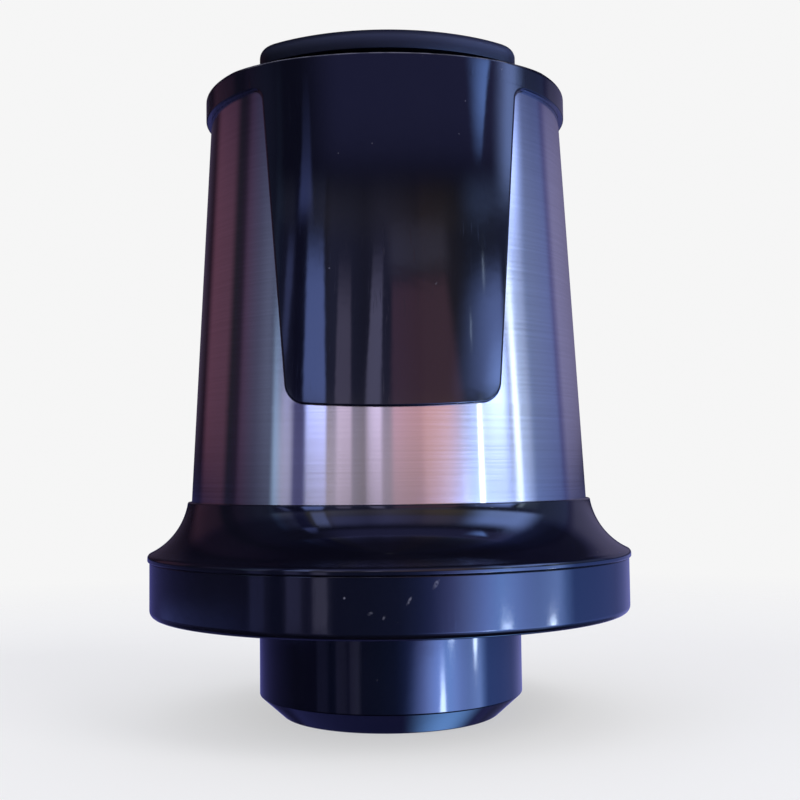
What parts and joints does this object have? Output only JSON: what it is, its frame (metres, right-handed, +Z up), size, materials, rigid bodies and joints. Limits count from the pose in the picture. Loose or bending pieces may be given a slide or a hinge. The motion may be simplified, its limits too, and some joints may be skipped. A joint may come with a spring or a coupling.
{
  "type": "food chopper motor head",
  "caption": "Motor head of an electric food chopper: tapered brushed-steel body with black collar and front panel, press plate on top, flared rim, and a hub with a drive socket.",
  "frame": {"origin": "centre of the hub's flat underside", "axes": "+Z up along the motor axis, front panel towards -Y, +X to its right seen from the front"},
  "size_m": [0.121, 0.121, 0.1604],
  "materials": {
    "gloss_black": "high gloss moulded plastic",
    "soft_black": "soft-touch moulded plastic",
    "brushed_body": "brushed round the body",
    "inner_plastic": "plain moulded plastic",
    "nylon": "natural nylon",
    "rubber": "matt",
    "machined_steel": "turned and zinc plated",
    "lamination": "stacked sheet steel",
    "copper": "enamelled wire",
    "brass": "drawn and sintered",
    "cast_alloy": "die cast",
    "carbon": "pressed carbon",
    "capacitor_film": "cast resin box",
    "plunger_red": "moulded"
  },
  "bodies": {
    "housing": {"hub": "gloss_black", "base_ring": "gloss_black", "skirt": "gloss_black", "steel_wrap": "brushed_body", "collar_panel": "gloss_black", "inner_housing": "inner_plastic", "cord_gland": "rubber", "button_spring": "machined_steel", "ring_gear": "nylon", "gearbox_cover": "inner_plastic", "output_bush": "brass", "shaft_seal": "rubber", "thrust_washer": "machined_steel", "motor_lower_bracket": "cast_alloy", "lower_bearing": "machined_steel", "motor_upper_bracket": "cast_alloy", "upper_bearing": "machined_steel", "stator_core": "lamination", "field_coils": "copper", "motor_mounts": "rubber", "motor_screws": "machined_steel", "brush_holders": "brass", "carbon_brushes": "carbon", "brush_springs": "machined_steel", "switch_bracket": "machined_steel", "switch_body": "inner_plastic", "switch_screws": "machined_steel", "suppression_capacitor": "capacitor_film", "terminal_block": "nylon", "hub_screws": "machined_steel", "base_screws": "machined_steel", "collar_screws": "machined_steel"},
    "button": {"top_button": "soft_black"},
    "switch_arm": {"switch_lever": "machined_steel"},
    "switch_pin": {"switch_plunger": "plunger_red"},
    "rotor": {"motor_shaft": "machined_steel", "rotor_core": "lamination", "armature_winding": "copper", "commutator": "copper", "cooling_fan": "inner_plastic", "sun_pinion": "machined_steel"},
    "carrier": {"planet_carrier": "machined_steel", "planet_pins": "machined_steel", "drive_coupling": "inner_plastic"},
    "planet_1": {"planet_gear_1": "nylon"},
    "planet_2": {"planet_gear_2": "nylon"},
    "planet_3": {"planet_gear_3": "nylon"}
  },
  "joints": [
    {"name": "button_press", "type": "slide", "parent": "housing", "child": "button", "axis": [0, 0, -1], "range_m": [0, 0.004], "stiffness_N_per_m": 900, "springref_m": -0.004, "deforming": ["button_spring"]},
    {"name": "switch_lever_turn", "type": "hinge", "parent": "housing", "child": "switch_arm", "pos_m": [-0.014, 0, 0.1345], "axis": [0, 1, 0], "range_deg": [0, 16.4]},
    {"name": "switch_plunger_slide", "type": "slide", "parent": "housing", "child": "switch_pin", "axis": [0, 0, -1], "range_m": [0, 0.00172]},
    {"name": "rotor_spin", "type": "hinge", "parent": "housing", "child": "rotor", "pos_m": [0, 0, 0], "axis": [0, 0, 1], "continuous": true},
    {"name": "carrier_spin", "type": "hinge", "parent": "housing", "child": "carrier", "pos_m": [0, 0, 0], "axis": [0, 0, 1], "continuous": true},
    {"name": "planet_1_spin", "type": "hinge", "parent": "carrier", "child": "planet_1", "pos_m": [0.015, 0, 0.027], "axis": [0, 0, 1], "continuous": true},
    {"name": "planet_2_spin", "type": "hinge", "parent": "carrier", "child": "planet_2", "pos_m": [-0.0075, 0.01299, 0.027], "axis": [0, 0, 1], "continuous": true},
    {"name": "planet_3_spin", "type": "hinge", "parent": "carrier", "child": "planet_3", "pos_m": [-0.0075, -0.01299, 0.027], "axis": [0, 0, 1], "continuous": true}
  ],
  "couplings": [
    {"joint": "switch_lever_turn", "follows": "button_press", "rad_per_m": 71.429},
    {"joint": "switch_plunger_slide", "follows": "button_press", "ratio": 0.42857},
    {"joint": "carrier_spin", "follows": "rotor_spin", "ratio": 0.2},
    {"joint": "planet_1_spin", "follows": "rotor_spin", "ratio": -0.53333},
    {"joint": "planet_2_spin", "follows": "rotor_spin", "ratio": -0.53333},
    {"joint": "planet_3_spin", "follows": "rotor_spin", "ratio": -0.53333}
  ]
}
